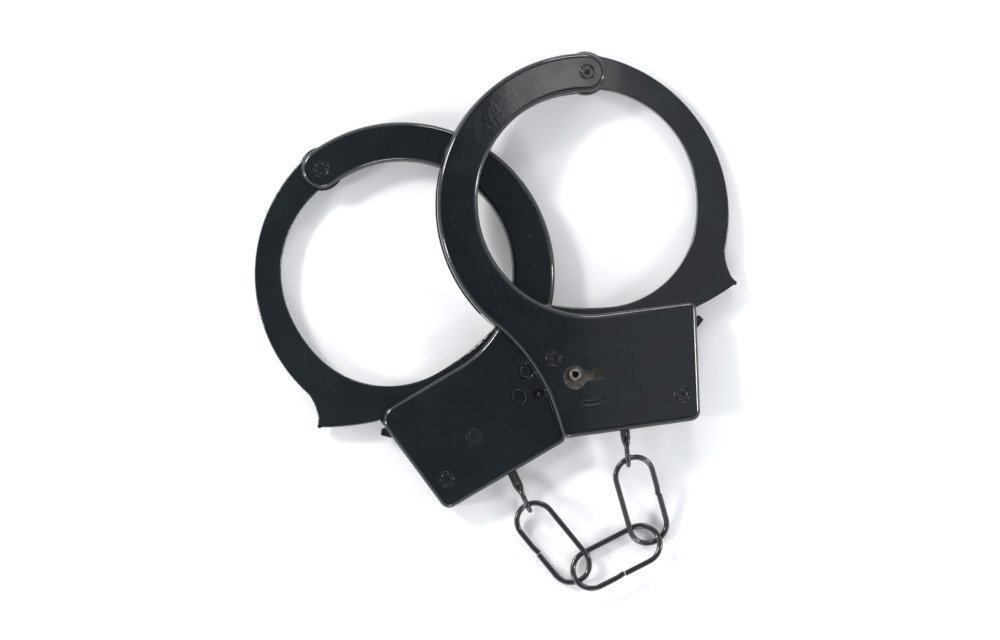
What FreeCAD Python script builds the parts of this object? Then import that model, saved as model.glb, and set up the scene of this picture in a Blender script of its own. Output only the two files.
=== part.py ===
import FreeCAD, Part
import os
from math import acos, asin, atan2, cos, pi, radians, sin, sqrt, tan
from FreeCAD import Placement, Rotation, Vector

# A pair of pressed-steel handcuffs joined by a short chain of oval wire links.
# The left cuff lies flat with its back plate upward, the right cuff leans on it
# with its keyhole side upward.  Millimetres, +Z up, the supporting surface is z = 0
# and the origin lies under the middle of the whole object.
#
# Every cuff is drawn in one shared cuff frame: origin on the jaw's pivot axis at
# mid-thickness, -Y towards the chain, +Z out of the keyhole side.  The arm curves
# round on the -X side and the jaw on the +X side.

doc = FreeCAD.newDocument("handcuffs")
dims = doc.addObject("Spreadsheet::Sheet", "dims")

# alias, value, note
SIZES = [
    ("half_thick", 3.25, "half of the thickness over both shells"),
    ("sheet_thick", 0.8, "shell sheet"),
    ("seam_half", 0.03, "half of the seam where the flanges meet"),
    ("bend_out", 1.25, "outer bend radius of the flanges"),
    ("bend_in", 0.45, "inner bend radius of the flanges"),
    ("slot_half", 1.3, "half height of the slot that the jaw swings through"),
    ("slot_radius", 66.0, "reach of that slot about the jaw's pivot"),
    ("arm_out_x", -3.9, "centre of the arm's outer curve"),
    ("arm_out_y", -33.2, "centre of the arm's outer curve"),
    ("arm_in_x", -4.2, "centre of the arm's inner curve"),
    ("arm_in_y", -32.4, "centre of the arm's inner curve"),
    ("arm_end", 4.9, "radius of the arm's round end about the pivot"),
    ("neck_x", -63.5, "centre of the concave curve between arm and lock case"),
    ("neck_y", -90.45, "centre of that curve"),
    ("neck_low_y", -82.9, "where the concave curve meets the straight side"),
    ("case_top_x", 19.5, "case corner beside the jaw"),
    ("case_low_x", 16.4, "case corner beside the chain"),
    ("case_low_y", -89.75, "chain end of the case"),
    ("front_corner", 1.6, "front shell corner radius beside the jaw"),
    ("back_corner", 4.0, "back shell corner radius beside the jaw"),
    ("low_corner", 2.5, "case corner radius beside the chain, +X side"),
    ("left_corner", 2.0, "case corner radius beside the chain, -X side"),
    ("window_left_x", 14.0, "jaw window"),
    ("window_right_x", 24.0, "jaw window, past the case"),
    ("window_top_y", -58.0, "pivot end of the jaw window, past the case"),
    ("window_low_y", -68.4, "chain end of the jaw window"),
    ("cut_extra", 0.2, "how far holes are cut past the sheet"),
    ("hole_radius", 1.3, "rivet holes"),
    ("recess_radius", 1.8, "recess round each rivet head"),
    ("recess_deep", 0.5, "depth of that recess"),
    ("recess_lip", 0.22, "rounding of that recess's rim"),
    ("shaft_radius", 1.25, "rivet shafts"),
    ("head_radius", 1.5, "rivet heads"),
    ("head_low", 0.04, "how far a rivet head sits below the face"),
    ("head_gap", 0.02, "gap under a rivet head"),
    ("corner_x", 12.38, "corner rivet"),
    ("corner_y", -82.85, "corner rivet"),
    ("pawl_x", -18.43, "pawl rivet"),
    ("pawl_y", -69.63, "pawl rivet"),
    ("post_x", -13.5, "key post"),
    ("post_y", -74.3, "key post"),
    ("post_top", 2.75, "top of the key post above mid-plane"),
    ("post_radius", 1.5, "key post above the back plate"),
    ("post_bore", 0.85, "hollow in the key post's end"),
    ("post_bore_deep", 4.0, "depth of that hollow's straight wall"),
    ("post_bore_cone", 0.5, "depth of the cone below that wall"),
    ("post_step", 0.35, "step on post and spring pin, above the sheet"),
    ("coil_x", 1.0, "spring pin"),
    ("coil_y", -77.1, "spring pin"),
    ("coil_pin_radius", 1.1, "spring pin"),
    ("coil_pin_top", 2.25, "top of the spring pin above mid-plane"),
    ("key_x", -13.75, "keyhole"),
    ("key_y", -75.1, "keyhole"),
    ("key_radius", 2.9, "keyhole"),
    ("key_slot_x", -6.5, "end of the keyhole's slot"),
    ("key_slot_half", 1.2, "half width of the keyhole's slot"),
    ("key_slot_corner", 0.15, "corner radius of the keyhole's slot"),
    ("bump_half", 1.05, "half width of the crescent's inside bump"),
    ("bump_deep", 0.52, "height of that bump, with its overlap"),
    ("bump_overlap", 0.02, "overlap of that bump with the sheet"),
    ("groove_half", 0.58, "half width of the crescent's outside groove"),
    ("groove_deep", 0.5, "depth of that groove"),
    ("stop_x", -18.4, "hole for the pawl's stop pin"),
    ("stop_y", -76.0, "hole for the pawl's stop pin"),
    ("stop_radius", 1.5, "hole for the pawl's stop pin"),
    ("stop_pin_x", -18.6, "stop pin"),
    ("stop_pin_y", -76.4, "stop pin"),
    ("stop_pin_radius", 0.65, "bore for the stop pin"),
    ("stop_pin_fit", 0.005, "stop pin's play in its bore"),
    ("stop_pin_low", 0.25, "how far the stop pin sits below the back face"),
    ("stop_pin_top", 1.3, "top of the stop pin above mid-plane"),
    ("exit_x", -2.6, "swivel hole in the chain end of the case"),
    ("exit_radius", 1.5, "swivel hole"),
    ("exit_start", 1.0, "how far outside the case the swivel hole's cut starts"),
    ("exit_reach", 2.5, "length of that cut beyond the sheet's thickness"),
    ("jaw_thick", 2.2, "jaw plate"),
    ("jaw_hole", 1.3, "jaw's pivot hole"),
    ("jaw_up_x", -3.45, "centre of the jaw's upper inner curve"),
    ("jaw_up_y", -30.5, "centre of that curve"),
    ("jaw_up_radius", 26.75, "jaw's upper inner curve"),
    ("jaw_mid_radius", 34.0, "jaw's middle inner curve"),
    ("jaw_low_radius", 24.65, "jaw's lower inner curve"),
    ("jaw_boss", 5.5, "jaw's round end about the pivot"),
    ("jaw_out_x", -9.3, "centre of the jaw's outer curve"),
    ("jaw_out_y", -34.1, "centre of the jaw's outer curve"),
    ("jaw_out_radius", 40.2, "jaw's outer curve"),
    ("tongue_out", 64.8, "tooth tips about the pivot"),
    ("tongue_in", 58.8, "inner edge of the toothed tongue about the pivot"),
    ("tongue_tip_deg", -24.0, "end of the toothed tongue"),
    ("tooth_first_deg", 14.0, "first tooth"),
    ("tooth_pitch_deg", 2.9, "tooth spacing"),
    ("tooth_deep", 1.1, "tooth depth"),
    ("edge_round", 0.35, "rounding along the jaw's edges"),
    ("washer_radius", 3.2, "spacer washers on the jaw rivet"),
    ("pawl_washer_radius", 2.6, "spacer washers on the pawl rivet"),
    ("washer_bore", 1.3, "spacer washers"),
    ("washer_low", 1.12, "inner face of a spacer washer above mid-plane"),
    ("washer_high", 2.43, "outer face of a spacer washer above mid-plane"),
    ("bore_start", 0.5, "how far below a washer its bore's cut starts"),
    ("pawl_thick", 2.2, "pawl plate"),
    ("pawl_hole", 1.3, "pawl's pivot hole"),
    ("pawl_lift_deg", 2.8, "turn that drops the pawl into the teeth"),
    ("spring_wire", 0.25, "spring wire radius"),
    ("spring_radius", 1.75, "spring coil, to the wire's centre"),
    ("spring_pitch", 0.56, "spring coil pitch"),
    ("swivel_wire", 0.62, "swivel wire radius"),
    ("neck_extra", 0.04, "how much thicker the swivel's neck is, radius"),
    ("eye_radius", 1.58, "swivel eye, to the wire's centre"),
    ("link_wire", 0.7, "link wire radius"),
    ("link_half", 6.9, "half of a link's straight side"),
    ("link_bend", 4.8, "link's end bend, to the wire's centre"),
    ("link_gap", 0.14, "gap at a link's butt joint"),
    ("centre_x", 1.0346, "shift that centres the object"),
    ("centre_y", 0.4019, "shift that centres the object"),
    ("left_x", -44.775, "left cuff's pivot"),
    ("left_y", 37.85, "left cuff's pivot"),
    ("left_turn", -149.54, "left cuff's heading"),
    ("left_jaw_deg", 4.1, "left jaw's opening at rest"),
    ("right_x", 21.272, "right cuff's pivot"),
    ("right_y", 61.679, "right cuff's pivot"),
    ("right_z", 5.094, "right cuff's pivot"),
    ("right_turn", 7.772, "right cuff's heading"),
    ("right_lean", 9.281, "right cuff's lean"),
    ("lean_axis_x", -0.36417, "direction of the leaning axis"),
    ("lean_axis_y", 0.93133, "direction of the leaning axis"),
    ("right_jaw_deg", 1.2, "right jaw's opening at rest"),
]
size = {}
for row, (alias, value, note) in enumerate(SIZES, start=1):
    dims.set("A%d" % row, note)
    dims.set("B%d" % row, repr(value))
    dims.setAlias("B%d" % row, alias)
    size[alias] = value
doc.recompute()

UP = Vector(0, 0, 1)
half = size["half_thick"]
sheet = size["sheet_thick"]


# ---------------------------------------------------------------- flat geometry
# Points are vectors at z = 0; angles are radians unless the name ends in deg.
def flat(x, y):
    return Vector(x, y, 0)


def spot(name):
    """The point whose coordinates are the sizes name_x and name_y."""
    return flat(size[name + "_x"], size[name + "_y"])


def heading(start, end):
    return atan2(end.y - start.y, end.x - start.x)


def polar(centre, radius, angle):
    return flat(centre.x + radius * cos(angle), centre.y + radius * sin(angle))


def circle(centre, radius):
    return Part.Circle(centre, UP, radius)


def arc(centre, radius, start, end):
    """Counter-clockwise arc from angle start to angle end."""
    while end <= start:
        end += 2 * pi
    return Part.ArcOfCircle(circle(centre, radius), start, end)


def line(start, end):
    return Part.LineSegment(start, end)


def spline(points, start_direction, end_direction):
    curve = Part.BSplineCurve()
    curve.interpolate(points, InitialTangent=start_direction, FinalTangent=end_direction)
    return curve


def lines_meet(first, first_along, second, second_along):
    """Where the lines through two points along two directions meet."""
    reach = (second - first).cross(second_along).z / first_along.cross(second_along).z
    return first + first_along * reach


def circles_meet(first, first_radius, second, second_radius):
    gap = (second - first).Length
    axis = (second - first).normalize()
    along = (first_radius ** 2 - second_radius ** 2 + gap ** 2) / (2 * gap)
    foot = first + axis * along
    across = flat(-axis.y, axis.x) * sqrt(first_radius ** 2 - along ** 2)
    return [foot + across, foot - across]


def rightmost(points):
    return max(points, key=lambda point: point.x)


def round_corner(before, corner, after, radius):
    """The tangent points and the arc that round a corner between two straight lines."""
    to_before = (before - corner).normalize()
    to_after = (after - corner).normalize()
    half_angle = acos(to_before.dot(to_after)) / 2
    start = corner + to_before * (radius / tan(half_angle))
    end = corner + to_after * (radius / tan(half_angle))
    centre = corner + (to_before + to_after).normalize() * (radius / sin(half_angle))
    angles = [heading(centre, start), heading(centre, end)]
    if (start - centre).cross(end - centre).z <= 0:
        angles.reverse()
    return start, end, arc(centre, radius, *angles)


def polygon(corners):
    """A closed outline through (x, y, corner radius) corners."""
    points = [flat(x, y) for x, y, radius in corners]
    count = len(points)
    ends, outline = [], []
    for i, (x, y, radius) in enumerate(corners):
        start = end = points[i]
        if radius > 0:
            start, end, rounding = round_corner(points[i - 1], points[i],
                                                points[(i + 1) % count], radius)
            outline.append(rounding)
        ends.append((start, end))
    for i in range(count):
        start, end = ends[i][1], ends[(i + 1) % count][0]
        if (end - start).Length > 1e-6:
            outline.append(line(start, end))
    return outline


# ---------------------------------------------------------------- document helpers
pieces = []


def piece(kind, label, place, **inputs):
    """A new object that is exported under its label; its inputs are set before its placement."""
    obj = doc.addObject(kind, label)
    obj.Label = label
    for name, value in inputs.items():
        setattr(obj, name, value)
    obj.Placement = place
    pieces.append(obj)
    return obj


def new_body(label, place):
    return piece("PartDesign::Body", label, place)


def sketch(body, name, geometry, offset=None, role="XY_Plane"):
    result = body.newObject("Sketcher::SketchObject", body.Name + "_" + name)
    plane = next(item for item in body.Origin.OriginFeatures if item.Role == role)
    result.AttachmentSupport = [(plane, "")]
    result.MapMode = "FlatFace"
    if offset is not None:
        result.setExpression("AttachmentOffset.Base.z", offset)
    result.addGeometry(geometry, False)
    return result


def pad(body, name, profile, length, reverse=False, symmetric=False):
    """A pad along the sketch's normal, or against it when reversed."""
    result = body.newObject("PartDesign::Pad", body.Name + "_" + name)
    result.Profile = profile
    result.setExpression("Length", length)
    result.Reversed = reverse
    if symmetric:
        result.SideType = "Symmetric"
    doc.recompute()
    return result


def pocket(body, name, profile, length, reverse=False):
    """A pocket against the sketch's normal, or along it when reversed."""
    before = body.Shape.Volume
    result = body.newObject("PartDesign::Pocket", body.Name + "_" + name)
    result.Profile = profile
    result.setExpression("Length", length)
    result.Reversed = reverse
    doc.recompute()
    if body.Shape.Volume >= before - 1e-3:
        raise RuntimeError("%s %s cuts nothing" % (body.Name, name))
    return result


def fillet(body, name, base, edges, radius):
    result = body.newObject("PartDesign::Fillet", body.Name + "_" + name)
    result.Base = (base, edges)
    result.setExpression("Radius", radius)
    doc.recompute()


def edges_at(shape, z, wanted=lambda edge: True):
    """Names of the wanted edges that lie flat at height z."""
    return ["Edge%d" % i for i, edge in enumerate(shape.Edges, start=1)
            if abs(edge.BoundBox.ZMin - z) < 1e-4
            and abs(edge.BoundBox.ZMax - z) < 1e-4 and wanted(edge)]


def pivot_holes(body, holes, thickness):
    """Holes right through a plate centred on mid-plane."""
    profile = sketch(body, "pivot_line", holes, thickness)
    pocket(body, "pivot", profile, "3 * " + thickness)


def turned(label, place, corners):
    """A closed profile of (radius, height, corner radius) turned about the body's Z axis."""
    body = new_body(label, place)
    profile = sketch(body, "turned_profile", polygon(corners), role="XZ_Plane")
    result = body.newObject("PartDesign::Revolution", body.Name + "_turned")
    result.Profile = profile
    result.ReferenceAxis = (profile, ["V_Axis"])
    result.Angle = 360
    doc.recompute()


# ---------------------------------------------------------------- shells
PIVOT = flat(0, 0)
ALONG_X = flat(1, 0)
ARM_OUT, ARM_IN, NECK = spot("arm_out"), spot("arm_in"), spot("neck")
arm_out_radius = ARM_OUT.Length + size["arm_end"]
arm_in_radius = ARM_IN.Length - size["arm_end"]
neck_radius = (NECK - ARM_OUT).Length - arm_out_radius
case_top = ARM_IN.y - arm_in_radius

RIVETS_BOTH = [PIVOT, spot("corner"), spot("pawl")]
RIVETS_BACK = [spot("post"), spot("coil")]
# one end, the middle and the other end of the pressed crescent's centre line
CRESCENT = [flat(-12.5, -81.5), flat(-9.85, -81.8), flat(-7.2, -81.2)]


def shell_outline(inset, corner_radius):
    """The arm and lock case in plan, moved inward by inset."""
    out_angle = heading(ARM_OUT, PIVOT)
    in_angle = heading(ARM_IN, PIVOT)
    neck_low = asin((size["neck_low_y"] - NECK.y) / neck_radius)
    neck_high = heading(NECK, ARM_OUT)

    start = flat(ARM_IN.x, case_top - inset)
    case_corner = flat(size["case_top_x"], case_top)
    side = (spot("case_low") - case_corner).normalize()
    on_side = case_corner + flat(side.y, -side.x) * inset
    low = flat(0, size["case_low_y"] + inset)
    neck_start = polar(NECK, neck_radius + inset, neck_low)
    neck_along = flat(sin(neck_low), -cos(neck_low))
    stations = [start,
                lines_meet(start, ALONG_X, on_side, side),
                lines_meet(on_side, side, low, ALONG_X),
                lines_meet(neck_start, neck_along, low, ALONG_X),
                neck_start]

    outline = [arc(ARM_IN, arm_in_radius + inset, in_angle, 1.5 * pi)]
    reached = start
    radii = (corner_radius, size["low_corner"], size["left_corner"])
    for i, radius in enumerate(radii, start=1):
        begin, end, rounding = round_corner(*stations[i - 1:i + 2], radius - inset)
        outline += [line(reached, begin), rounding]
        reached = end
    outline += [line(reached, neck_start),
                arc(NECK, neck_radius + inset, neck_low, neck_high),
                arc(ARM_OUT, arm_out_radius - inset, out_angle, neck_high + pi),
                arc(PIVOT, size["arm_end"] - inset, in_angle + pi, out_angle)]
    return outline


def crescent_outline(half_width):
    """The crescent on the chain side of the keyhole, with round ends."""
    start, middle, end = CRESCENT
    centre_line = Part.Circle(start, middle, end)
    centre, radius = centre_line.Center, centre_line.Radius
    first, last = heading(centre, start), heading(centre, end)
    return [arc(centre, radius + half_width, first, last),
            arc(centre, radius - half_width, first, last),
            arc(start, half_width, first + pi, first),
            arc(end, half_width, last, last + pi)]


def keyhole_outline():
    """A round hole with a slot towards +X."""
    centre, radius = spot("key"), size["key_radius"]
    corner, right = size["key_slot_corner"], size["key_slot_x"]
    low, high = centre.y - size["key_slot_half"], centre.y + size["key_slot_half"]
    angle = asin(size["key_slot_half"] / radius)
    return [arc(centre, radius, angle, 2 * pi - angle),
            line(polar(centre, radius, -angle), flat(right - corner, low)),
            arc(flat(right - corner, low + corner), corner, -pi / 2, 0),
            line(flat(right, low + corner), flat(right, high - corner)),
            arc(flat(right - corner, high - corner), corner, 0, pi / 2),
            line(flat(right - corner, high), polar(centre, radius, angle))]


def window_outline():
    left, right = size["window_left_x"], size["window_right_x"]
    top, low = size["window_top_y"], size["window_low_y"]
    return polygon([(left, top, 0), (right, top, 0), (right, low, 0), (left, low, 0)])


def press_front(body, face):
    """The front shell's crescent, a bump inside and a groove outside, and its keyhole."""
    profile = sketch(body, "crescent_bump_line", crescent_outline(size["bump_half"]),
                     "dims.half_thick - dims.sheet_thick + dims.bump_overlap")
    pad(body, "crescent_bump", profile, "dims.bump_deep", reverse=True)
    profile = sketch(body, "crescent_line", crescent_outline(size["groove_half"]), face)
    pocket(body, "crescent", profile, "dims.groove_deep")
    profile = sketch(body, "keyhole_line", keyhole_outline(), face)
    pocket(body, "keyhole", profile, "dims.sheet_thick + dims.cut_extra")


def is_recess_rim(edge):
    return (isinstance(edge.Curve, Part.Circle)
            and abs(edge.Curve.Radius - size["recess_radius"]) < 1e-4)


def shell(label, place, front):
    """The front shell (keyhole side, +Z) or the back shell (-Z)."""
    body = new_body(label, place)
    side = 1 if front else -1
    sign = "" if front else "-"
    seam, face = sign + "dims.seam_half", sign + "dims.half_thick"
    corner = size["front_corner"] if front else size["back_corner"]

    # pressed tray, open towards mid-plane
    profile = sketch(body, "outline", shell_outline(0.0, corner), seam)
    base = pad(body, "blank", profile, "dims.half_thick - dims.seam_half", reverse=not front)
    fillet(body, "bend", base, edges_at(base.Shape, side * half), "dims.bend_out")
    profile = sketch(body, "inside", shell_outline(sheet, corner), seam)
    base = pocket(body, "hollow", profile,
                  "dims.half_thick - dims.sheet_thick - dims.seam_half", front)
    inner_edges = edges_at(base.Shape, side * (half - sheet))
    fillet(body, "inner_bend", base, inner_edges, "dims.bend_in")

    # openings in the flanges for the jaw
    profile = sketch(body, "jaw_slot_line", [circle(PIVOT, size["slot_radius"])], seam)
    pocket(body, "jaw_slot", profile, "dims.slot_half - dims.seam_half", front)
    profile = sketch(body, "window_line", window_outline(), seam)
    pocket(body, "window", profile, "dims.slot_half - dims.seam_half", front)

    if front:
        press_front(body, face)

    # rivet recesses and holes
    rivets = RIVETS_BOTH + ([] if front else RIVETS_BACK)
    recesses = [circle(centre, size["recess_radius"]) for centre in rivets]
    profile = sketch(body, "recess_line", recesses, face)
    base = pocket(body, "recess", profile, "dims.recess_deep", not front)
    rims = edges_at(base.Shape, side * half, is_recess_rim)
    fillet(body, "recess_lip", base, rims, "dims.recess_lip")
    holes = [circle(centre, size["hole_radius"]) for centre in rivets]
    if not front:
        holes.append(circle(spot("stop"), size["stop_radius"]))
    profile = sketch(body, "hole_line", holes, face)
    pocket(body, "holes", profile, "dims.sheet_thick + dims.cut_extra", not front)

    # round hole for the swivel, half in each shell; this sketch's normal is -Y
    profile = sketch(body, "exit_line", [circle(flat(size["exit_x"], 0), size["exit_radius"])],
                     "dims.exit_start - dims.case_low_y", role="XZ_Plane")
    pocket(body, "exit", profile, "dims.sheet_thick + dims.exit_reach")


# ---------------------------------------------------------------- jaw
JAW_OUT, JAW_UP = spot("jaw_out"), spot("jaw_up")
JAW_BLEND = 3.0           # concave radius between the boss and the outer curve
JAW_OUT_END_DEG = -21.5   # end of the outer curve about its own centre
# finger tab: inner points of its shallow concave edge, and its direction at the end
TAB_EDGE = [flat(27.78, -50.6), flat(27.78, -52.4), flat(28.15, -54.5), flat(28.75, -56.25)]
TAB_END_DIRECTION = flat(0.36, -0.93)
# blunt tip of the tab: its place on the tongue circle, its width there, and from that
# place to the end of the concave edge and to the middle of the rounding
TAB_TIP_DEG = 27.1
TAB_TIP_WIDTH_DEG = 0.75
TAB_TIP_TO_EDGE = flat(-0.28, 0.62)
TAB_TIP_TO_MIDDLE = flat(0.02, 0.03)
TOOTH_UNDERCUT_DEG = 0.15  # how far each valley lies past the next tooth's tip
NOSE_CLEAR_DEG = 2.0       # least toothless stretch at the tongue's end
# sloping nose: depth below the tooth tips or height above the tongue's inner edge,
# and degrees back from the tongue's end
NOSE_TOP_DEEP, NOSE_TOP_DEG = 2.2, 0.4
NOSE_LOW_HIGH, NOSE_BACK_DEG = 1.6, 1.5
INNER_END_DEG = -3.0       # where the tongue's inner edge runs into the lower inner curve
LONG_EDGE = 4.0            # only edges longer than this are rounded


def tongue_point(radius, deg):
    """A point at radius about the pivot, deg from -Y towards +X."""
    return flat(radius * sin(radians(deg)), -radius * cos(radians(deg)))


def tongue_arc(radius, start_deg, end_deg):
    return arc(PIVOT, radius, -pi / 2 + radians(start_deg), -pi / 2 + radians(end_deg))


def jaw_outer_edge():
    """The outer curve and finger tab, and the point where they leave the boss."""
    boss, radius = size["jaw_boss"], size["jaw_out_radius"]
    blend = rightmost(circles_meet(PIVOT, boss + JAW_BLEND, JAW_OUT, radius + JAW_BLEND))
    boss_point = blend * (boss / (boss + JAW_BLEND))
    out_angle = heading(JAW_OUT, blend)
    tab_angle = radians(JAW_OUT_END_DEG)
    tip = tongue_point(size["tongue_out"], TAB_TIP_DEG)
    edge_end = tip + TAB_TIP_TO_EDGE
    tip_end = tongue_point(size["tongue_out"], TAB_TIP_DEG - TAB_TIP_WIDTH_DEG)
    edge_points = [polar(JAW_OUT, radius, tab_angle)] + TAB_EDGE + [edge_end]
    return [arc(blend, JAW_BLEND, heading(blend, boss_point), heading(blend, JAW_OUT)),
            arc(JAW_OUT, radius, tab_angle, out_angle),
            spline(edge_points, flat(sin(tab_angle), -cos(tab_angle)), TAB_END_DIRECTION),
            Part.Arc(edge_end, tip + TAB_TIP_TO_MIDDLE, tip_end)], boss_point


def jaw_tongue():
    """The tongue circle's smooth land, the teeth and the sloping nose."""
    outer, inner = size["tongue_out"], size["tongue_in"]
    first, pitch, end = size["tooth_first_deg"], size["tooth_pitch_deg"], size["tongue_tip_deg"]
    points = [tongue_point(outer, first)]
    for k in range(int((first - end - NOSE_CLEAR_DEG) / pitch)):
        tip_deg = first - (k + 1) * pitch
        points += [tongue_point(outer - size["tooth_deep"], tip_deg - TOOTH_UNDERCUT_DEG),
                   tongue_point(outer, tip_deg)]
    points += [tongue_point(outer - NOSE_TOP_DEEP, end + NOSE_TOP_DEG),
               tongue_point(inner + NOSE_LOW_HIGH, end),
               tongue_point(inner, end + NOSE_BACK_DEG)]
    land = tongue_arc(outer, first, TAB_TIP_DEG - TAB_TIP_WIDTH_DEG)
    return [land] + [line(start, end) for start, end in zip(points, points[1:])]


def jaw_inner_edge():
    """The tongue's inner edge and three tangent arcs, and the point where they meet the boss."""
    inner = size["tongue_in"]
    up_radius, mid_radius = size["jaw_up_radius"], size["jaw_mid_radius"]
    low_radius = size["jaw_low_radius"]
    low = tongue_point(inner - low_radius, INNER_END_DEG)
    mid = min(circles_meet(JAW_UP, mid_radius - up_radius, low, mid_radius - low_radius),
              key=lambda point: point.x)
    boss_point = rightmost(circles_meet(PIVOT, size["jaw_boss"], JAW_UP, up_radius))
    low_angle, up_angle = heading(mid, low), heading(mid, JAW_UP)
    return [tongue_arc(inner, size["tongue_tip_deg"] + NOSE_BACK_DEG, INNER_END_DEG),
            arc(low, low_radius, -pi / 2 + radians(INNER_END_DEG), low_angle),
            arc(mid, mid_radius, low_angle, up_angle),
            arc(JAW_UP, up_radius, up_angle, heading(JAW_UP, boss_point))], boss_point


def jaw(label, place):
    body = new_body(label, place)
    outer_edge, outer_point = jaw_outer_edge()
    inner_edge, inner_point = jaw_inner_edge()
    boss = arc(PIVOT, size["jaw_boss"], heading(PIVOT, outer_point), heading(PIVOT, inner_point))
    profile = sketch(body, "outline", outer_edge + jaw_tongue() + inner_edge + [boss])
    plate = pad(body, "plate", profile, "dims.jaw_thick", symmetric=True)
    edges = []
    for z in (size["jaw_thick"] / 2, -size["jaw_thick"] / 2):
        edges += edges_at(plate.Shape, z, lambda edge: edge.Length > LONG_EDGE)
    fillet(body, "edges", plate, edges, "dims.edge_round")
    pivot_holes(body, [circle(PIVOT, size["jaw_hole"])], "dims.jaw_thick")


# ---------------------------------------------------------------- pawl
PAWL_TEETH = 3
PAWL_MESH_DEG = 16.0       # the meshed teeth start at or below this angle
PAWL_VALLEY_GAP = 0.55     # from the jaw's tooth tips to the pawl's valleys
PAWL_TIP_GAP = 0.16        # from the jaw's tooth roots to the pawl's tips
PAWL_TIP_ROUND = 0.12
# one pawl tooth, in degrees inside the tooth space's two ends
PAWL_START_DEG, PAWL_TIP_DEG, PAWL_END_DEG = 0.25, 0.09, 0.30
# outline corners: x, y, corner radius; the teeth come after the first one
PAWL_BEFORE_TEETH = [(-15.6, -67.45, 0.6)]
PAWL_AFTER_TEETH = [
    # release tab
    (17.2, -66.15, 0.5), (19.0, -64.05, 0.5), (19.95, -63.75, 0.4), (21.05, -65.05, 0.3),
    (19.3, -66.7, 0.6), (17.6, -68.35, 0.8),
    # chain side of the toothed arm
    (8.0, -69.35, 3.0), (-15.2, -70.15, 0.8),
    # short arm and the round end about the pivot
    (-16.6, -72.4, 1.5), (-16.75, -76.6, 1.4), (-18.6, -78.3, 1.2), (-20.4, -76.6, 1.2),
    (-20.6, -72.0, 2.0), (-21.5, -69.6, 2.4), (-19.6, -66.6, 2.0),
]


def pawl_teeth(jaw_deg):
    """Corners of the teeth, laid out meshed with the jaw, then turned out to the resting place."""
    pitch, outer = size["tooth_pitch_deg"], size["tongue_out"]
    valley = outer + PAWL_VALLEY_GAP
    tip = outer - size["tooth_deep"] + PAWL_TIP_GAP
    turn = Rotation(UP, -size["pawl_lift_deg"])
    pivot = spot("pawl")
    start = size["tooth_first_deg"] + jaw_deg
    while start > PAWL_MESH_DEG:
        start -= pitch
    corners = []
    for k in range(PAWL_TEETH):
        high, low = start - k * pitch, start - (k + 1) * pitch
        for radius, deg, rounding in ((valley, high - PAWL_START_DEG, 0),
                                      (tip, low + PAWL_TIP_DEG, PAWL_TIP_ROUND),
                                      (valley, low + PAWL_END_DEG, 0)):
            point = pivot + turn.multVec(tongue_point(radius, deg) - pivot)
            corners.append((point.x, point.y, rounding))
    corners.reverse()
    return corners


def pawl(label, place, jaw_deg):
    """A cranked lever: a toothed arm under the jaw's tongue with a release tab at its end,
    and a short arm beside the key post."""
    body = new_body(label, place)
    outline = polygon(PAWL_BEFORE_TEETH + pawl_teeth(jaw_deg) + PAWL_AFTER_TEETH)
    profile = sketch(body, "outline", outline)
    pad(body, "plate", profile, "dims.pawl_thick", symmetric=True)
    holes = [circle(spot("pawl"), size["pawl_hole"]),
             circle(spot("stop_pin"), size["stop_pin_radius"])]
    pivot_holes(body, holes, "dims.pawl_thick")


# ---------------------------------------------------------------- turned pieces
# profiles are (radius, height, corner radius)
head_face = half - size["head_low"]
head_under = half - size["recess_deep"] + size["head_gap"]
# slightly dished head at the back face, down to the shaft
BACK_HEAD = [(0, 0.05 - head_face, 0), (0.8, -head_face, 0.3),
             (size["head_radius"], -head_face, 0.2), (size["head_radius"], -head_under, 0),
             (size["shaft_radius"], -head_under, 0)]
STEP_ROUND = 0.05       # at the shaft's end below the post or spring pin
POST_TOP_ROUND = 0.18
POST_BORE_ROUND = 0.1
COIL_PIN_TOP_ROUND = 0.3
STOP_PIN_ROUND = 0.15


def at(place, where):
    return place.multiply(Placement(where, Rotation()))


def rivet(label, place, where):
    """A solid rivet with a flat head at both faces."""
    front_head = [(radius, -z, rounding) for radius, z, rounding in reversed(BACK_HEAD)]
    turned(label, at(place, where), BACK_HEAD + front_head)


def stepped(radius):
    """A rivet end in the back shell, stepping to the given radius inside the case."""
    step = size["post_step"] - (half - sheet)
    return BACK_HEAD + [(size["shaft_radius"], step, STEP_ROUND), (radius, step, 0)]


def key_post(label, place):
    """A rivet through the back shell whose long hollow end carries the key."""
    radius, top, bore = size["post_radius"], size["post_top"], size["post_bore"]
    floor = top - size["post_bore_deep"]
    turned(label, at(place, spot("post")), stepped(radius) + [
        (radius, top, POST_TOP_ROUND), (bore, top, POST_BORE_ROUND),
        (bore, floor, 0), (0, floor - size["post_bore_cone"], 0)])


def spring_pin(label, place):
    radius, top = size["coil_pin_radius"], size["coil_pin_top"]
    turned(label, at(place, spot("coil")),
           stepped(radius) + [(radius, top, COIL_PIN_TOP_ROUND), (0, top, 0)])


def stop_pin(label, place):
    """A small pin in the pawl's short arm, its end showing in a hole of the back shell."""
    radius = size["stop_pin_radius"] - size["stop_pin_fit"]
    low, top = size["stop_pin_low"] - half, size["stop_pin_top"]
    turned(label, at(place, spot("stop_pin")),
           [(0, low, 0), (radius, low, STOP_PIN_ROUND), (radius, top, STOP_PIN_ROUND),
            (0, top, 0)])


def cylinder(name, radius, height, z):
    result = doc.addObject("Part::Cylinder", name)
    result.setExpression("Radius", radius)
    result.setExpression("Height", height)
    result.setExpression("Placement.Base.z", z)
    return result


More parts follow.
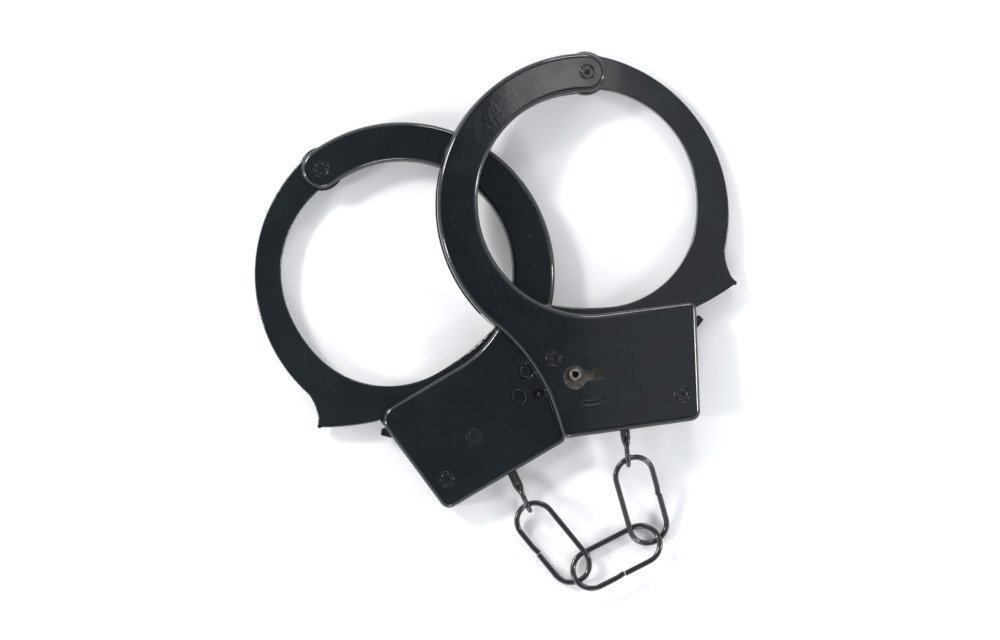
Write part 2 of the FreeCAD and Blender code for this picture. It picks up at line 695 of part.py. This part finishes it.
def washers(label, place, where, radius):
    """A spacer washer on each side of a moving plate."""
    thickness = "(dims.washer_high - dims.washer_low)"
    rings = []
    for k, low in enumerate(("dims.washer_low", "-dims.washer_high")):
        disc = cylinder("%s_disc%d" % (label, k), radius, thickness, low)
        bore = cylinder("%s_bore%d" % (label, k), "dims.washer_bore", "2 * " + thickness,
                        low + " - dims.bore_start")
        ring = doc.addObject("Part::Cut", "%s_ring%d" % (label, k))
        ring.Base = disc
        ring.Tool = bore
        rings.append(ring)
    piece("Part::Compound", label, at(place, where), Links=rings)
    doc.recompute()


# ---------------------------------------------------------------- pawl spring
SPRING_START_Z = -0.7
SPRING_START_DEG = 45.0     # where the leg under the pawl meets the coil
SPRING_END_DEG = -80.5      # where the other leg leaves it
SPRING_TURNS = 4            # full turns besides the part turn between those angles
SPRING_STEPS = 84           # points along the coil
SPRING_EASE = 0.25          # how much the climb slackens at the coil's ends
# distances from the coil of the points along each leg
FIRST_LEG = (8.0, 6.4, 4.7, 3.0, 1.4)
LAST_LEG = (1.4, 3.4, 5.6, 7.8, 9.8)


def spring(label, place):
    """Torsion spring: one leg lifts the pawl, the other rests on the crescent's inner side.
    Seen from +Z the coil climbs clockwise from the first leg to the last."""
    centre, radius = spot("coil"), size["spring_radius"]
    start_angle = radians(SPRING_START_DEG)
    total = 2 * pi * SPRING_TURNS + start_angle - radians(SPRING_END_DEG)
    climb = size["spring_pitch"] * total / (2 * pi)

    def coil_point(angle, z):
        return polar(centre, radius, angle) + Vector(0, 0, z)

    start = coil_point(start_angle, SPRING_START_Z)
    outward = flat(-sin(start_angle), cos(start_angle))
    points = [start + outward * reach for reach in FIRST_LEG]
    for i in range(SPRING_STEPS + 1):
        done = i / SPRING_STEPS
        eased = done - sin(2 * pi * done) / (2 * pi) * SPRING_EASE
        points.append(coil_point(start_angle - total * done, SPRING_START_Z + climb * eased))
    end, end_angle = points[-1], start_angle - total
    outward = flat(sin(end_angle), -cos(end_angle))
    points += [end + outward * reach for reach in LAST_LEG]

    curve = Part.BSplineCurve()
    curve.interpolate(points)
    first = curve.FirstParameter
    section = Part.Circle(curve.value(first), curve.tangent(first)[0], size["spring_wire"])
    wire = Part.Wire([curve.toShape()]).makePipeShell([Part.Wire([section.toShape()])], True, False)
    piece("Part::Feature", label, place, Shape=wire)


# ---------------------------------------------------------------- swivels
# distances along the swivel's Y axis from the eye's centre
NECK_START, NECK_END = 1.75, 5.2
LEG_START, LEG_END, TIP_END = 4.3, 10.3, 11.0
LEG_X, TIP_X = 0.6, 1.2     # legs and spread tips on each side of the axis


def rod(name, radius, start, end):
    """A round bar between two points, its radius bound to the sheet."""
    result = doc.addObject("Part::Cylinder", name)
    result.setExpression("Radius", radius)
    result.Height = (end - start).Length
    result.Placement = Placement(start, Rotation(UP, end - start))
    return result


def ball(name, radius, centre):
    result = doc.addObject("Part::Sphere", name)
    result.setExpression("Radius", radius)
    result.Placement.Base = centre
    return result


def swivel(label, place):
    """One wire folded into an eye, about the swivel's own axis Y: the eye is centred on the
    origin and stands in the YZ plane, its two legs close in a neck and run side by side
    towards +Y, where their tips spread."""
    wire = "dims.swivel_wire"
    eye = doc.addObject("Part::Torus", label + "_eye")
    eye.setExpression("Radius1", "dims.eye_radius")
    eye.setExpression("Radius2", wire)
    eye.Placement = Placement(Vector(), Rotation(Vector(0, 1, 0), 90))
    parts = [eye, rod(label + "_neck", wire + " + dims.neck_extra",
                      flat(0, NECK_START), flat(0, NECK_END))]
    for k, side in enumerate((1, -1)):
        shoulder = flat(LEG_X * side, LEG_START)
        knee = flat(LEG_X * side, LEG_END)
        end = flat(TIP_X * side, TIP_END)
        parts += [rod("%s_leg%d" % (label, k), wire, shoulder, knee),
                  ball("%s_shoulder%d" % (label, k), wire, shoulder),
                  ball("%s_knee%d" % (label, k), wire, knee),
                  rod("%s_tip%d" % (label, k), wire, knee, end),
                  ball("%s_end%d" % (label, k), wire, end)]
    piece("Part::MultiFuse", label, place, Shapes=parts)
    doc.recompute()


# ---------------------------------------------------------------- chain links
# the wire end that bends inward at the butt joint: x, shift towards the link's middle
JOG_START_X = -2.6
JOG_POINTS = [(-1.9, 0.02), (-1.0, 0.14)]
JOG_END_SHIFT = 0.26
JOG_END_DIRECTION = flat(1, 0.1)


def link(label, place):
    """An oval link bent from round wire; its ends meet in a butt joint halfway along one side."""
    straight, bend, gap = size["link_half"], size["link_bend"], size["link_gap"]
    body = new_body(label, place)
    jog = [(JOG_START_X, 0)] + JOG_POINTS + [(-gap / 2, JOG_END_SHIFT)]
    path = sketch(body, "path", [
        line(flat(gap / 2, -bend), flat(straight, -bend)),
        arc(flat(straight, 0), bend, -pi / 2, pi / 2),
        line(flat(straight, bend), flat(-straight, bend)),
        arc(flat(-straight, 0), bend, pi / 2, 1.5 * pi),
        line(flat(-straight, -bend), flat(JOG_START_X, -bend)),
        spline([flat(x, shift - bend) for x, shift in jog], ALONG_X, JOG_END_DIRECTION)])
    section = sketch(body, "wire", [circle(flat(-bend, 0), size["link_wire"])],
                     "dims.link_gap / 2", role="YZ_Plane")
    doc.recompute()
    pipe = body.newObject("PartDesign::AdditivePipe", body.Name + "_pipe")
    pipe.Profile = section
    pipe.Spine = path
    pipe.Mode = "Standard"
    pipe.Transition = "Transformed"
    doc.recompute()


# ---------------------------------------------------------------- assembly
centring = spot("centre")
left = Placement(spot("left") + Vector(0, 0, half) + centring,
                 Rotation(UP, size["left_turn"]).multiply(Rotation(Vector(1, 0, 0), 180)))
right = Placement(spot("right") + Vector(0, 0, size["right_z"]) + centring,
                  Rotation(spot("lean_axis"), size["right_lean"]).multiply(
                      Rotation(UP, size["right_turn"])))

# centres of the swivels' eyes, before centring
LEFT_EYE = Vector(6.850, -46.392, 3.255)
RIGHT_EYE = Vector(31.897, -34.692, 8.234)
# label, middle before centring, then degrees of yaw, pitch and roll
LINKS = [
    ("chain_link_1", Vector(13.331, -55.947, 2.294), -50.88, 3.58, 13.45),
    ("chain_link_2", Vector(29.239, -59.507, 2.294), 27.04, 1.22, -14.13),
    ("chain_link_3", Vector(35.392, -45.167, 4.525), -73.77, 18.29, 171.46),
]


def along_y(origin, direction, upward):
    """A placement whose Y axis runs along direction and whose Z axis leans to upward."""
    y = Vector(direction).normalize()
    x = y.cross(upward).normalize()
    z = x.cross(y)
    return Placement(FreeCAD.Matrix(x.x, y.x, z.x, origin.x,
                                    x.y, y.y, z.y, origin.y,
                                    x.z, y.z, z.z, origin.z,
                                    0, 0, 0, 1))


def cuff(prefix, place):
    jaw_deg = size[prefix + "_jaw_deg"]
    shell(prefix + "_front_shell", place, True)
    shell(prefix + "_back_shell", place, False)
    jaw(prefix + "_jaw", place.multiply(Placement(Vector(), Rotation(UP, jaw_deg))))
    rivet(prefix + "_jaw_rivet", place, PIVOT)
    washers(prefix + "_jaw_washers", place, PIVOT, "dims.washer_radius")
    rivet(prefix + "_case_rivet", place, spot("corner"))
    rivet(prefix + "_pawl_rivet", place, spot("pawl"))
    washers(prefix + "_pawl_washers", place, spot("pawl"), "dims.pawl_washer_radius")
    pawl(prefix + "_pawl", place, jaw_deg)
    stop_pin(prefix + "_stop_pin", place)
    key_post(prefix + "_key_post", place)
    spring_pin(prefix + "_spring_pin", place)
    spring(prefix + "_pawl_spring", place)


cuff("left", left)
cuff("right", right)

for label, place, eye in (("left_swivel", left, LEFT_EYE), ("right_swivel", right, RIGHT_EYE)):
    eye_centre = eye + centring
    exit_centre = place.multVec(flat(size["exit_x"], size["case_low_y"]))
    swivel(label, along_y(eye_centre, exit_centre - eye_centre, UP))

for label, middle, yaw, pitch, roll in LINKS:
    turn = Rotation(UP, yaw).multiply(Rotation(Vector(0, 1, 0), pitch)).multiply(
        Rotation(Vector(1, 0, 0), roll))
    link(label, Placement(middle + centring, turn))

doc.recompute()

# ---------------------------------------------------------------- output
for obj in doc.Objects:
    faults = [state for state in obj.State if state in ("Invalid", "Error")]
    if faults:
        raise RuntimeError("%s is %s" % (obj.Name, faults))
for obj in pieces:
    if obj.Shape.isNull() or not obj.Shape.isValid() or not obj.Shape.Solids:
        raise RuntimeError("%s has a bad shape" % obj.Label)
os.makedirs("parts", exist_ok=True)
for obj in pieces:
    obj.Shape.exportStep("parts/%s.step" % obj.Label)
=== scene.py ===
# A pair of black handcuffs on a white floor, joined by three chain links; the camera looks down -Z.
# The left cuff lies with its back plate up. The right cuff leans, with its back plate underneath.
# Sizes and places are in millimetres of the CAD frame; the scene is in metres, moved by SHIFT.
import math

import bpy
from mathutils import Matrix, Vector


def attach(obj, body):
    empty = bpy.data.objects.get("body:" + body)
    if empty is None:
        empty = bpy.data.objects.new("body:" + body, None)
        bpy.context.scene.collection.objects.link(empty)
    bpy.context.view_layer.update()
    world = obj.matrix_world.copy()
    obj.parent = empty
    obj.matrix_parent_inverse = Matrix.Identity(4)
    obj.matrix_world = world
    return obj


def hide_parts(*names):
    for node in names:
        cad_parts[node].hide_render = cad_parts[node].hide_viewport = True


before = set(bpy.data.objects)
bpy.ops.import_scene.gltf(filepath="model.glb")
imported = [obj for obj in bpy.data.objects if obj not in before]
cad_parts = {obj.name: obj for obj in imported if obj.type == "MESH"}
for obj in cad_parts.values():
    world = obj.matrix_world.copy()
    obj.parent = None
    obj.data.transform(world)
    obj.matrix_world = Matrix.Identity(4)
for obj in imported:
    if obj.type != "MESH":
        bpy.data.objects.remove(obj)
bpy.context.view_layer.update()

MM = 0.001
SHIFT = Vector((1.0346, 0.4019, 0.0))  # mm, from the CAD frame to the scene


def to_scene(point):
    return [(coordinate + shift) * MM for coordinate, shift in zip(point, SHIFT)]


def shade(colour, factor):
    return tuple(channel * factor for channel in colour)


# ---------------------------------------------------------------- node helpers
class Graph:
    """A short way to write shader nodes."""

    def __init__(self, tree, output):
        tree.nodes.clear()
        self.tree = tree
        self.x = 0
        self.output = self.node(output)

    def feed(self, socket, value):
        if isinstance(value, bpy.types.NodeSocket):
            self.tree.links.new(value, socket)
        else:
            socket.default_value = value

    def node(self, kind, *inputs, **named):
        """Positional values fill inputs in order; Capital names are inputs, others properties."""
        node = self.tree.nodes.new("ShaderNode" + kind)
        node.location = (self.x, 0)
        self.x += 180
        for key, value in named.items():
            if key[0].isupper():
                self.feed(node.inputs[key.replace("_", " ")], value)
            else:
                setattr(node, key, value)
        for socket, value in zip(node.inputs, inputs):
            self.feed(socket, value)
        return node

    def add(self, kind, *inputs, out=0, **named):
        """Make a node and return one of its outputs."""
        return self.node(kind, *inputs, **named).outputs[out]

    def show(self, shader):
        self.feed(self.output.inputs[0], shader)

    def position(self):
        return self.add("TexCoord", out="Object")

    def noise(self, vector, scale, detail=4.0, rough=0.55, warp=0.0):
        return self.add("TexNoise", Vector=vector, Scale=scale, Detail=detail,
                        Roughness=rough, Distortion=warp)

    def ramp(self, value, span, to=(0.0, 1.0)):
        """Smooth step that maps the ends of span to the ends of to."""
        return self.add("MapRange", value, *span, *to, interpolation_type="SMOOTHSTEP")

    def math(self, operation, first, second):
        return self.add("Math", first, second, operation=operation)

    def vector_math(self, operation, first, second):
        return self.add("VectorMath", first, second, out="Value", operation=operation)

    def mix(self, factor, first, second):
        """Colour mix; inputs 6 and 7 are the node's colour sockets."""
        node = self.node("Mix", 0.0, data_type="RGBA")
        for index, value in ((0, factor), (6, first), (7, second)):
            if isinstance(value, tuple):
                value = (*value, 1.0)
            self.feed(node.inputs[index], value)
        return node.outputs[2]

    def bump(self, height, **inputs):
        """Relief with its height in millimetres."""
        return self.add("Bump", Strength=1.0, Distance=MM, Height=height, **inputs)


def start_material(name, view_colour=None):
    material = bpy.data.materials.new(name)
    material.use_nodes = True
    if view_colour:
        material.diffuse_color = (*view_colour, 1.0)
    return material, Graph(material.node_tree, "OutputMaterial")


# ---------------------------------------------------------------- material parts
def edge_mask(graph, radius):
    """Rounded normal, and a mask that is white along sharp edges."""
    rounded = graph.add("Bevel", samples=6, Radius=radius)
    flat = graph.add("NewGeometry", out="Normal")
    agreement = graph.vector_math("DOT_PRODUCT", rounded, flat)
    return rounded, graph.ramp(agreement, span=(0.995, 0.90))


def spot_mask(graph, position, patches, spots):
    """Relief in mm inside the spots, whose outlines are broken up by the patches."""
    mask = None
    for centre, radius, relief in spots:
        distance = graph.vector_math("DISTANCE", position, to_scene(centre))
        ragged = graph.math("MULTIPLY", graph.math("SUBTRACT", patches, 0.5), radius * 1.2 * MM)
        distance = graph.math("ADD", distance, ragged)
        spot = graph.ramp(distance, span=(radius * MM, radius * 0.55 * MM), to=(0.0, relief))
        mask = graph.math("MAXIMUM", mask, spot) if mask else spot
    return mask


def bare_shader(graph, position, base, rough, relief, stretch=(1.0, 1.0, 1.0), metal=0.8, painted_glow=0.0):
    """Bare steel: drawn or rough grain, stains, slight colour change, and an optional glow that is
    painted light.
    """
    stretched = graph.add("Mapping", Vector=position, Scale=stretch)
    grain = graph.noise(stretched, scale=2600.0, detail=5.0, rough=0.65)
    stain = graph.noise(position, scale=340.0, rough=0.6, warp=0.6)
    colour = graph.mix(graph.ramp(stain, span=(0.35, 0.68)), shade(base, 0.6), shade(base, 1.45))
    pale_grain = (0.55, 0.50, 0.44)
    colour = graph.mix(graph.ramp(grain, span=(0.6, 0.72), to=(0.0, 0.5)), colour, pale_grain)
    # painted light: the emission makes the steel glow by itself, with no lamp
    painted_glow_inputs = {"Emission_Color": colour, "Emission_Strength": painted_glow} if painted_glow else {}
    return graph.add(
        "BsdfPrincipled", Base_Color=colour, Metallic=metal,
        Roughness=graph.ramp(stain, span=(0.3, 0.7), to=(rough - 0.1, rough + 0.12)),
        Normal=graph.bump(graph.math("MULTIPLY", grain, relief)), **painted_glow_inputs)


def bare_keyhole(graph, position, coated, inward, post):
    """Uncoated, grainy sheet round the keyhole on the faces that look into the case. Its faint glow
    is painted light, and its pale base colour is partly its own grey and partly painted light, to
    brighten the shaded keyhole.
    """
    # painted light: the pale base and the faint glow brighten the keyhole, which would otherwise
    # lie in shade
    raw = bare_shader(graph, position, base=(0.66, 0.61, 0.55), rough=0.62, relief=0.16,
                      metal=0.0, painted_glow=0.055)
    distance = graph.vector_math("DISTANCE", position, to_scene(post))
    near = graph.ramp(distance, span=(12.5 * MM, 11.8 * MM))
    normal = graph.add("NewGeometry", out="True Normal")
    facing = graph.ramp(graph.vector_math("DOT_PRODUCT", normal, inward), span=(0.6, 0.9))
    return graph.add("MixShader", graph.math("MULTIPLY", facing, near), coated, raw)


# ---------------------------------------------------------------- materials
def coat(name, base, rough, peel, peel_scale=900.0, gloss=0.5, wear=0.10, spots=(), keyhole=None):
    """Baked coating: orange peel (mm), mottling, dust specks, worn edges.

    spots are wrinkled places; keyhole is (inward axis, post centre) of a bare patch, which glows
    faintly as painted light."""
    material, graph = start_material(name, base)
    position = graph.position()
    rounded, edge = edge_mask(graph, radius=0.22 * MM)
    patches = graph.noise(position, scale=95.0, rough=0.6, warp=0.4)
    fine = graph.noise(position, scale=peel_scale, detail=3.0, rough=0.5, warp=0.3)
    micro = graph.noise(position, scale=5200.0, detail=2.0, rough=0.6)

    # uneven base colour, lighter where edges are worn thin, with sparse dust
    colour = graph.mix(graph.ramp(patches, span=(0.3, 0.7)), shade(base, 0.82), shade(base, 1.22))
    scuffs = graph.noise(position, scale=420.0, detail=5.0, rough=0.7)
    worn = graph.math("MULTIPLY", edge, graph.ramp(scuffs, span=(0.42, 0.62), to=(0.15, 1.0)))
    worn_colour = (0.32, 0.33, 0.35)
    colour = graph.mix(graph.math("MULTIPLY", worn, wear), colour, worn_colour)
    cells = graph.add("TexVoronoi", out="Distance", Vector=position, Scale=330.0)
    specks = graph.math("MULTIPLY", graph.ramp(cells, span=(0.055, 0.03)),
                        graph.ramp(patches, span=(0.5, 0.62)))
    dust_colour, dust_strength = (0.35, 0.34, 0.32), 0.25
    colour = graph.mix(graph.math("MULTIPLY", specks, dust_strength), colour, dust_colour)

    # relief and roughness: the spots are wrinkled and glossier
    amount = graph.ramp(patches, span=(0.35, 0.75), to=(0.6 * peel, 1.3 * peel))
    height = graph.math("MULTIPLY", fine, amount)
    micro_strength = 0.05
    roughness = graph.math(
        "ADD", graph.ramp(patches, span=(0.3, 0.75), to=(rough - 0.03, rough + 0.04)),
        graph.math("MULTIPLY", graph.math("SUBTRACT", micro, 0.5), micro_strength))
    if spots:
        mask = spot_mask(graph, position, patches, spots)
        wrinkle = graph.noise(position, scale=1050.0, detail=3.0, rough=0.5, warp=0.25)
        height = graph.math("ADD", height, graph.math("MULTIPLY", wrinkle, mask))
        spot_gloss = -0.5  # roughness change per mm of extra relief
        roughness = graph.math("ADD", roughness, graph.math("MULTIPLY", mask, spot_gloss))

    shader = graph.add(
        "BsdfPrincipled", Base_Color=colour, Roughness=roughness,
        Normal=graph.bump(height, Normal=rounded),
        Specular_IOR_Level=gloss, Coat_Weight=0.3, Coat_Roughness=0.05)
    if keyhole:
        shader = bare_keyhole(graph, position, shader, *keyhole)
    graph.show(shader)
    return material


def bare(name, base, **look):
    material, graph = start_material(name, base)
    graph.show(bare_shader(graph, graph.position(), base, **look))
    return material


def post_material(name, inward, post):
    """Bare turned steel inside the case, coated on the head in the back plate."""
    material, graph = start_material(name, (0.2, 0.19, 0.18))
    position = graph.position()
    level = sum(axis * place for axis, place in zip(inward, to_scene(post)))
    depth = graph.vector_math("DOT_PRODUCT", position, inward)
    inside = graph.ramp(depth, span=(level - 2.2 * MM, level - 1.8 * MM))
    raw = bare_shader(graph, position, base=(0.40, 0.37, 0.33), rough=0.3, relief=0.01,
                      stretch=(1.0, 1.0, 6.0))
    grain = graph.noise(position, scale=1500.0, detail=3.0, rough=0.5)
    dark, light = (0.0048, 0.0060, 0.0074), (0.0066, 0.0084, 0.0102)
    grain_relief = 0.02
    coated = graph.add(
        "BsdfPrincipled", Base_Color=graph.mix(grain, dark, light),
        Roughness=graph.ramp(grain, span=(0.3, 0.7), to=(0.13, 0.2)),
        Normal=graph.bump(graph.math("MULTIPLY", grain, grain_relief)))
    graph.show(graph.add("MixShader", inside, coated, raw))
    return material


def wire_coat(name, base, rough):
    """Thin glossy dip on round wire, with runs, small pits and rubbed spots."""
    material, graph = start_material(name, base)
    position = graph.position()
    runs = graph.noise(position, scale=260.0, rough=0.6, warp=0.8)
    pits = graph.noise(position, scale=2100.0, detail=3.0, rough=0.6)
    run_relief, pit_relief = 0.06, 0.006
    rub_colour, rub_strength = (0.30, 0.29, 0.28), 0.35
    colour = graph.mix(graph.ramp(runs, span=(0.35, 0.7)), shade(base, 0.8), shade(base, 1.3))
    rubbed = graph.math("MULTIPLY", graph.ramp(runs, span=(0.64, 0.74)),
                        graph.ramp(pits, span=(0.5, 0.62)))
    colour = graph.mix(graph.math("MULTIPLY", rubbed, rub_strength), colour, rub_colour)
    height = graph.math("ADD", graph.math("MULTIPLY", runs, run_relief),
                        graph.math("MULTIPLY", pits, pit_relief))
    graph.show(graph.add(
        "BsdfPrincipled", Base_Color=colour, Normal=graph.bump(height),
        Roughness=graph.ramp(pits, span=(0.3, 0.7), to=(rough - 0.05, rough + 0.1)),
        Specular_IOR_Level=0.6, Coat_Weight=0.5, Coat_Roughness=0.08))
    return material


# ---------------------------------------------------------------- paint the CAD pieces
BLACK = (0.0048, 0.0068, 0.0090)

# wrinkled places on the upper arm of the leaning cuff: centre, radius, extra relief
ARM_SPOTS = (
    ((-12.0, 20.0, 9.0), 12.0, 0.050),
    ((-8.0, 6.0, 9.0), 13.0, 0.062),
    ((4.0, -4.0, 9.0), 11.0, 0.040),
    ((4.0, 46.0, 7.5), 12.0, 0.030),
)

# side, axis from the back plate into the case, key post centre at mid-thickness, spots
CUFFS = (
    ("left", (0.0, 0.0, -1.0), (4.529, -19.349, 3.25), ()),
    ("right", (0.15020, 0.05873, 0.98691), (18.317, -13.618, 10.025), ARM_SPOTS),
)


def paint(material, *names):
    for name in names:
        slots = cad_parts[name].data.materials
        slots.clear()
        slots.append(material)


rivet_coat = coat("rivet_coat", (0.0056, 0.0072, 0.0088), rough=0.16, peel=0.02,
                  peel_scale=1500.0, gloss=0.6, wear=0.3)
pawl_coat = coat("pawl_coat", (0.0056, 0.0070, 0.0084), rough=0.24, peel=0.03,
                 peel_scale=1300.0, wear=0.5)
steel = bare("bare_steel", (0.30, 0.28, 0.26), rough=0.42, relief=0.01)
spring_steel = bare("spring_steel", (0.38, 0.37, 0.36), rough=0.3, relief=0.004,
                    stretch=(1.0, 1.0, 3.0))
swivel_wire = wire_coat("swivel_wire", (0.0045, 0.0055, 0.0065), rough=0.12)
chain_wire = wire_coat("chain_wire", (0.0050, 0.0062, 0.0072), rough=0.14)

for side, inward, post, spots in CUFFS:
    paint(coat(side + "_front_coat", BLACK, rough=0.15, peel=0.010, spots=spots),
          side + "_front_shell")
    paint(coat(side + "_back_coat", BLACK, rough=0.15, peel=0.010, keyhole=(inward, post)),
          side + "_back_shell")
    paint(coat(side + "_jaw_coat", (0.0060, 0.0082, 0.0106), rough=0.19, peel=0.014),
          side + "_jaw")
    for pin in ("jaw_rivet", "case_rivet", "pawl_rivet", "spring_pin", "stop_pin"):
        paint(rivet_coat, side + "_" + pin)
    paint(steel, side + "_jaw_washers", side + "_pawl_washers")
    paint(pawl_coat, side + "_pawl")
    paint(post_material(side + "_post", inward, post), side + "_key_post")
    paint(spring_steel, side + "_pawl_spring")
    paint(swivel_wire, side + "_swivel")
paint(chain_wire, "chain_link_1", "chain_link_2", "chain_link_3")


# ---------------------------------------------------------------- twisted wire swivels
WIRE_RADIUS = 0.62  # the two legs touch, so this is also half their spacing
EYE_RADIUS = 1.58
LEG_FLARE = ((1.2, 11.0), (0.85, 10.55), (0.64, 9.95))  # x, y of the spread leg ends
LEG_START, LEG_STEP, LEG_POINTS = 9.2, 0.45, 16
TWIST_START, TWIST_LENGTH = 6.4, 3.7  # quarter turn, going down the leg

# side, eye centre, point where the legs leave the case
SWIVELS = (
    ("left", Vector((6.850, -46.392, 3.255)), Vector((2.967, -38.193, 3.250))),
    ("right", Vector((31.897, -34.692, 8.234)), Vector((31.121, -27.485, 8.902))),
)


def catmull(points, steps):
    """Catmull-Rom curve from the second point to the last but one."""
    curve = []
    for i in range(1, len(points) - 2):
        before, start, end, after = points[i - 1:i + 3]
        for step in range(steps):
            t = step / steps
            curve.append(0.5 * (
                (2 * start) + (end - before) * t
                + (2 * before - 5 * start + 4 * end - after) * t * t
                + (3 * start - before - 3 * end + after) * t ** 3))
    curve.append(points[-2])
    return curve


def mesh_object(name, verts, faces):
    mesh = bpy.data.meshes.new(name)
    mesh.from_pydata(verts, [], faces)
    mesh.update()
    made = bpy.data.objects.new(name, mesh)
    bpy.context.scene.collection.objects.link(made)
    return made


def dome(ring, direction, angles):
    """Shrinking rings beyond an end ring."""
    centre, tangent, normal, radius = ring
    rings = []
    for angle in map(math.radians, angles):
        offset = tangent * (direction * radius * math.sin(angle))
        rings.append((centre + offset, tangent, normal, radius * math.cos(angle)))
    return rings


def tube(name, path, radius, sides=20):
    """A round wire along a path, with domed ends."""
    last = len(path) - 1
    normal = (path[1] - path[0]).normalized().orthogonal().normalized()
    rings = []
    for i, centre in enumerate(path):
        tangent = (path[min(i + 1, last)] - path[max(i - 1, 0)]).normalized()
        normal = (normal - tangent * normal.dot(tangent)).normalized()
        rings.append((centre, tangent, normal, radius))
    rings = dome(rings[0], -1, (75, 50, 25)) + rings + dome(rings[-1], 1, (25, 50, 75))

    verts, faces = [], []
    for centre, tangent, normal, ring_radius in rings:
        across = tangent.cross(normal)
        for s in range(sides):
            angle = 2 * math.pi * s / sides
            spoke = normal * math.cos(angle) + across * math.sin(angle)
            verts.append(tuple(centre + spoke * ring_radius))
    for start in range(0, (len(rings) - 1) * sides, sides):
        for s in range(sides):
            a, b = start + s, start + (s + 1) % sides
            faces.append((a, b, b + sides, a + sides))
    faces.append(tuple(range(sides - 1, -1, -1)))
    faces.append(tuple(range(len(verts) - sides, len(verts))))
    wire = mesh_object(name, verts, faces)
    for face in wire.data.polygons:
        face.use_smooth = True
    return wire


def swivel_leg(side):
    points = [Vector((x * side, y, 0)) for x, y in LEG_FLARE]
    for i in range(LEG_POINTS):
        y = LEG_START - i * LEG_STEP
        t = min(1.0, max(0.0, (TWIST_START - y) / TWIST_LENGTH))
        turn = math.pi / 2 * (t * t * (3 - 2 * t))
        reach = WIRE_RADIUS * side
        points.append(Vector((reach * math.cos(turn), y, reach * math.sin(turn))))
    return points


def swivel_path():
    """Leg, eye, leg: the eye is round the origin in YZ, the legs run along +Y."""
    eye = [Vector((0, EYE_RADIUS * math.cos(angle), EYE_RADIUS * math.sin(angle)))
           for angle in map(math.radians, range(48, 313, 12))]
    points = swivel_leg(1) + eye + swivel_leg(-1)[::-1]
    before = points[0] + (points[0] - points[1])
    after = points[-1] + (points[-1] - points[-2])
    return catmull([before] + points + [after], steps=5)


path = swivel_path()
for side, eye, case_exit in SWIVELS:
    along = (case_exit - eye).normalized()
    across = along.cross(Vector((0, 0, 1))).normalized()
    upright = across.cross(along)
    placed = [(eye + SHIFT + across * p.x + along * p.y + upright * p.z) * MM for p in path]
    swivel = tube(side + "_twisted_swivel", placed, WIRE_RADIUS * MM)
    swivel.data.materials.append(swivel_wire)
    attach(swivel, side + "_eye")
    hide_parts(side + "_swivel")


# ---------------------------------------------------------------- floor
FLOOR_DROP = 0.03

floor = mesh_object("floor", [(-3, -3, 0), (3, -3, 0), (3, 3, 0), (-3, 3, 0)], [(0, 1, 2, 3)])
floor.location.z = -FLOOR_DROP * MM
paper, graph = start_material("floor_paper")
mottle = graph.noise(graph.position(), scale=30.0, detail=3.0)
tone = graph.mix(mottle, (0.88, 0.88, 0.88), (0.92, 0.92, 0.92))
graph.show(graph.add("BsdfPrincipled", Base_Color=tone, Roughness=0.95, Specular_IOR_Level=0.1))
floor.data.materials.append(paper)

# ---------------------------------------------------------------- world
# brightness by height: the two end colours, then (position, grey level) between them
SKY_ENDS = ((1.50, 1.55, 1.60, 1), (0.195, 0.212, 0.232, 1))
SKY_STOPS = ((0.55, 1.05), (0.80, 0.50), (0.90, 0.16), (0.97, 0.10))

world = bpy.data.worlds.new("studio")
bpy.context.scene.world = world
world.use_nodes = True
graph = Graph(world.node_tree, "OutputWorld")
height = graph.add("SeparateXYZ", graph.add("TexCoord", out="Generated"), out=2)
sky = graph.node("ValToRGB", height)
stops = sky.color_ramp.elements
stops[0].color, stops[1].color = SKY_ENDS
for position, level in SKY_STOPS:
    stops.new(position).color = (level * 0.96, level, level * 1.06, 1)  # slightly blue
graph.show(graph.add("Background", Color=sky.outputs[0], Strength=1.0))

# ---------------------------------------------------------------- lights
# name, place, aim, width, height, watts
SOFT_BOXES = (
    ("top_left", (-430, 300, 330), (0, 0, 0), 150, 70, 2.3),
    ("left", (-540, -120, 300), (0, 0, 0), 70, 150, 1.3),
    ("right", (560, 40, 320), (0, 0, 0), 60, 160, 1.1),
    ("low_front", (60, -560, 300), (0, 0, 0), 220, 50, 0.9),
    ("top", (120, 560, 330), (0, 0, 0), 200, 50, 0.9),
    # overhead panels that only the leaning cuff mirrors towards the camera
    ("arm_glow", (147, 138, 400), (147, 138, 0), 44, 40, 0.0175),
    ("case_glow", (196, 58, 400), (196, 58, 0), 84, 150, 0.0150),
)

for name, place, aim, width, depth, watts in SOFT_BOXES:
    light = bpy.data.lights.new(name, "AREA")
    light.shape = "RECTANGLE"
    light.size, light.size_y = width * MM, depth * MM
    light.energy = watts
    box = bpy.data.objects.new(name, light)
    box.location = Vector(place) * MM
    box.rotation_euler = (Vector(aim) * MM - box.location).to_track_quat("-Z", "Y").to_euler()
    bpy.context.scene.collection.objects.link(box)

# ---------------------------------------------------------------- camera
CAMERA_HEIGHT = 906.5

lens = bpy.data.cameras.new("camera")
lens.sensor_width = 36.0
lens.lens = 129.6
lens.clip_start, lens.clip_end = 0.01, 20.0
camera = bpy.data.objects.new("camera", lens)
camera.location = to_scene((0.0, 0.0, CAMERA_HEIGHT))
bpy.context.scene.collection.objects.link(camera)
bpy.context.scene.camera = camera
bpy.context.scene.view_settings.view_transform = "Standard"
